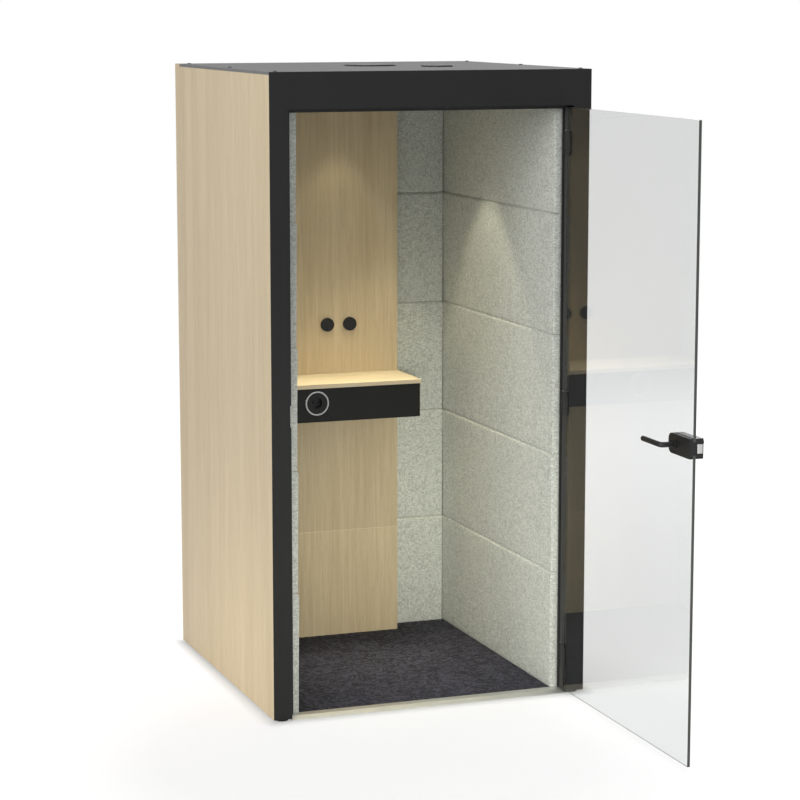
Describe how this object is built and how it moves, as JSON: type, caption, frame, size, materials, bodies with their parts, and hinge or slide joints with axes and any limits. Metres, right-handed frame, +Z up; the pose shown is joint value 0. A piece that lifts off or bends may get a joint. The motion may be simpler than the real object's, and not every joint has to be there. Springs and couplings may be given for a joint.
{
  "type": "acoustic office pod",
  "caption": "Upright one-person office booth with a hinged glass door, felt-lined walls, a carpeted floor, a standing worktop with a power socket, ceiling lights and a roof fan.",
  "frame": {"origin": "on the floor under the middle of the cabin, on the base plate's underside", "axes": "+Z up, +Y from the doorway into the cabin, +X towards the hinge side of the door"},
  "size_m": [1.189, 2.192, 2.243],
  "materials": {
    "wood_veneer": "pale oak veneer, satin lacquer",
    "frame_black": "fine-textured black powder coat",
    "felt": "light grey melange felt",
    "carpet": "anthracite loop pile",
    "wall_core": "insulated core board",
    "glass": "clear toughened glass",
    "hardware_black": "satin black",
    "bright_steel": "brushed",
    "chrome_ring": "polished",
    "threshold_metal": "anodised",
    "roof_grey": "matt grey coat",
    "ceiling_white": "matt white",
    "lens": "opal diffuser",
    "socket_black": "glossy black",
    "knob_black": "satin black",
    "fan_black": "moulded",
    "seal_rubber": "soft rubber"
  },
  "bodies": {
    "cabin": {"left_outer_panel": "wood_veneer", "right_outer_panel": "wood_veneer", "rear_outer_panel": "wood_veneer", "duct_front_upper": "wood_veneer", "duct_front_lower": "wood_veneer", "duct_side": "wood_veneer", "worktop": "wood_veneer", "left_jamb": "frame_black", "right_jamb": "frame_black", "head_beam": "frame_black", "worktop_box": "frame_black", "base_plate": "frame_black", "front_feet": "frame_black", "left_pad_1": "felt", "left_pad_2": "felt", "left_pad_3": "felt", "left_pad_4": "felt", "left_pad_5": "felt", "right_pad_1": "felt", "right_pad_2": "felt", "right_pad_3": "felt", "right_pad_4": "felt", "right_pad_5": "felt", "rear_pad_1": "felt", "rear_pad_2": "felt", "rear_pad_3": "felt", "rear_pad_4": "felt", "rear_pad_5": "felt", "carpet": "carpet", "left_wall_core": "wall_core", "right_wall_core": "wall_core", "rear_wall_core": "wall_core", "hinge_frame_leaves": "hardware_black", "hinge_pins": "bright_steel", "hinge_screws": "bright_steel", "strike_plate": "bright_steel", "socket_ring": "chrome_ring", "threshold": "threshold_metal", "roof_panel": "roof_grey", "roof_covers": "roof_grey", "roof_screws": "roof_grey", "ceiling_panel": "ceiling_white", "ceiling_grilles": "ceiling_white", "downlight_cans": "ceiling_white", "downlight_lenses": "lens", "socket_insert": "socket_black", "fan_housing": "fan_black", "door_seal": "seal_rubber"},
    "door": {"door_glass": "glass", "hinge_door_leaves": "hardware_black", "hinge_outer_plates": "hardware_black", "lock_inner_cover": "hardware_black", "lock_outer_body": "hardware_black"},
    "lever": {"lever_inner": "hardware_black", "lever_outer": "hardware_black", "lever_spindle": "bright_steel"},
    "latch": {"latch_bolt": "bright_steel"},
    "light_control": {"light_knob": "knob_black"},
    "fan_control": {"fan_knob": "knob_black"},
    "fan": {"fan_rotor": "fan_black"}
  },
  "joints": [
    {"name": "door_hinge", "type": "hinge", "parent": "cabin", "child": "door", "pos_m": [0.51, -0.563, 0], "axis": [0, 0, 1], "range_deg": [-90, 5]},
    {"name": "lever_turn", "type": "hinge", "parent": "door", "child": "lever", "pos_m": [0.51, -1.486, 1.064], "axis": [-1, 0, 0], "range_deg": [0, 40], "stiffness_Nm_per_rad": 1.6, "springref_deg": -28.65},
    {"name": "latch_slide", "type": "slide", "parent": "door", "child": "latch", "axis": [0, 1, 0], "range_m": [0, 0.004]},
    {"name": "light_knob_turn", "type": "hinge", "parent": "cabin", "child": "light_control", "pos_m": [-0.0385, 0.452, 1.24], "axis": [0, -1, 0], "range_deg": [0, 270]},
    {"name": "fan_knob_turn", "type": "hinge", "parent": "cabin", "child": "fan_control", "pos_m": [0.0525, 0.452, 1.24], "axis": [0, -1, 0], "range_deg": [0, 270]},
    {"name": "fan_spin", "type": "hinge", "parent": "cabin", "child": "fan", "pos_m": [0, 0.055, 2.19], "axis": [0, 0, 1], "continuous": true}
  ],
  "couplings": [
    {"joint": "latch_slide", "follows": "lever_turn", "m_per_rad": 0.0057}
  ]
}
